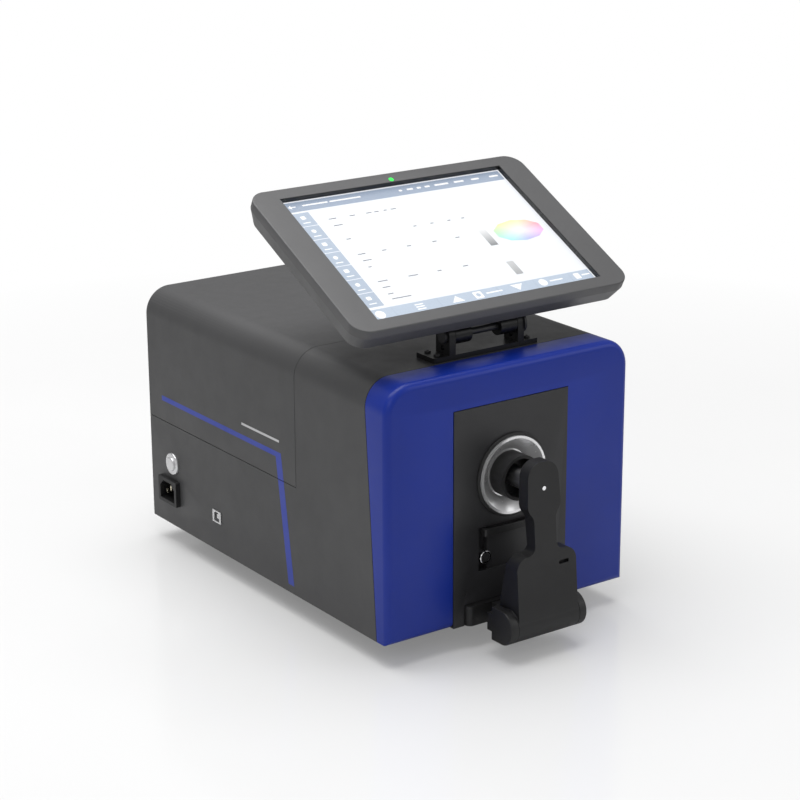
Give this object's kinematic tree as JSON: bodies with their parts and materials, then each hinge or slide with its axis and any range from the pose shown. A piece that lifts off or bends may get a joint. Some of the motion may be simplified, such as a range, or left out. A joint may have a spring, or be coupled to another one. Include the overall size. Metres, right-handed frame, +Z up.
{
  "type": "benchtop spectrophotometer",
  "caption": "Benchtop colour spectrophotometer with a front measuring port, a sprung sample clamp, a tilting touch display and a hinged rear hood over a transmission bay.",
  "frame": {"origin": "centre of the whole object's footprint box, on the surface that the feet stand on", "axes": "+Z up, -Y out of the measuring port towards the user, +X to the user's right"},
  "size_m": [0.2686, 0.4258, 0.3504],
  "materials": {
    "case_grey": "satin",
    "panel_blue": "satin",
    "black_satin": "satin",
    "sheet_black": "matte",
    "sphere_metal": "satin",
    "chrome": "polished",
    "steel": "brushed",
    "screw_black": "satin",
    "brass_contacts": "polished",
    "inlet_black": "matte",
    "socket_silver": "satin",
    "button_silver": "satin",
    "lens_glass": "polished",
    "board_green": "matte",
    "screen_frame": "satin",
    "cover_glass": "polished",
    "display": "lit screen",
    "led_green": "translucent",
    "foot_rubber": "matte"
  },
  "bodies": {
    "root": {"main_case": "case_grey", "front_panel": "panel_blue", "front_plate": "black_satin", "sample_shelf": "black_satin", "clamp_bracket": "black_satin", "port_bezel": "black_satin", "hinge_base": "black_satin", "hinge_pin": "black_satin", "front_frame": "sheet_black", "base_plate": "sheet_black", "bulkhead": "sheet_black", "bay_deck": "sheet_black", "sphere_stand": "sheet_black", "lamp_house": "sheet_black", "sample_rail": "sheet_black", "spectrometer_module": "sheet_black", "sphere_front_half": "sphere_metal", "sphere_rear_half": "sphere_metal", "rear_port_ring": "sphere_metal", "lens_tube": "sphere_metal", "port_collar": "sphere_metal", "port_ring": "chrome", "button_ring": "chrome", "clamp_axle": "steel", "clamp_spring": "steel", "hood_pins": "steel", "hood_leaves_case": "steel", "board_standoffs": "steel", "power_supply": "steel", "plate_screws": "screw_black", "hinge_screws": "screw_black", "inlet_blades": "brass_contacts", "power_inlet": "inlet_black", "usb_port": "socket_silver", "switch_bezel": "socket_silver", "condenser_lens": "lens_glass", "flash_lamp": "lens_glass", "main_board": "board_green", "foot_front_left": "foot_rubber", "foot_front_right": "foot_rubber", "foot_rear_left": "foot_rubber", "foot_rear_right": "foot_rubber"},
    "hood": {"rear_hood": "case_grey", "hood_leaves_hood": "steel"},
    "clamp": {"clamp_arm": "black_satin"},
    "pusher": {"pusher_cup": "black_satin", "pusher_stem": "chrome", "pusher_spring": "steel"},
    "screen": {"screen_bezel": "screen_frame", "screen_glass": "cover_glass", "display_panel": "display", "screen_back": "screen_frame", "screen_board": "board_green", "status_led": "led_green", "screen_bracket": "black_satin", "screen_screws": "screw_black"},
    "power_key": {"power_button": "button_silver"},
    "test_key": {"test_button": "black_satin"}
  },
  "joints": [
    {"name": "hood_hinge", "type": "hinge", "parent": "root", "child": "hood", "pos_m": [0, 0.20995, 0.1148], "axis": [-1, 0, 0], "range_deg": [0, 75]},
    {"name": "screen_tilt", "type": "hinge", "parent": "root", "child": "screen", "pos_m": [0, -0.12195, 0.248], "axis": [1, 0, 0], "range_deg": [-25, 43]},
    {"name": "clamp_swing", "type": "hinge", "parent": "root", "child": "clamp", "pos_m": [0, -0.19895, 0.029], "axis": [1, 0, 0], "range_deg": [0, 85], "stiffness_Nm_per_rad": 0.6, "springref_deg": -34.38},
    {"name": "pusher_slide", "type": "slide", "parent": "clamp", "child": "pusher", "axis": [0, -1, 0], "range_m": [0, 0.004], "stiffness_N_per_m": 800, "springref_m": -0.002},
    {"name": "power_press", "type": "slide", "parent": "root", "child": "power_key", "axis": [1, 0, 0], "range_m": [0, 0.002], "stiffness_N_per_m": 1200, "springref_m": -0.0005},
    {"name": "test_press", "type": "slide", "parent": "root", "child": "test_key", "axis": [0, 1, 0], "range_m": [0, 0.001], "stiffness_N_per_m": 900, "springref_m": -0.0005}
  ]
}
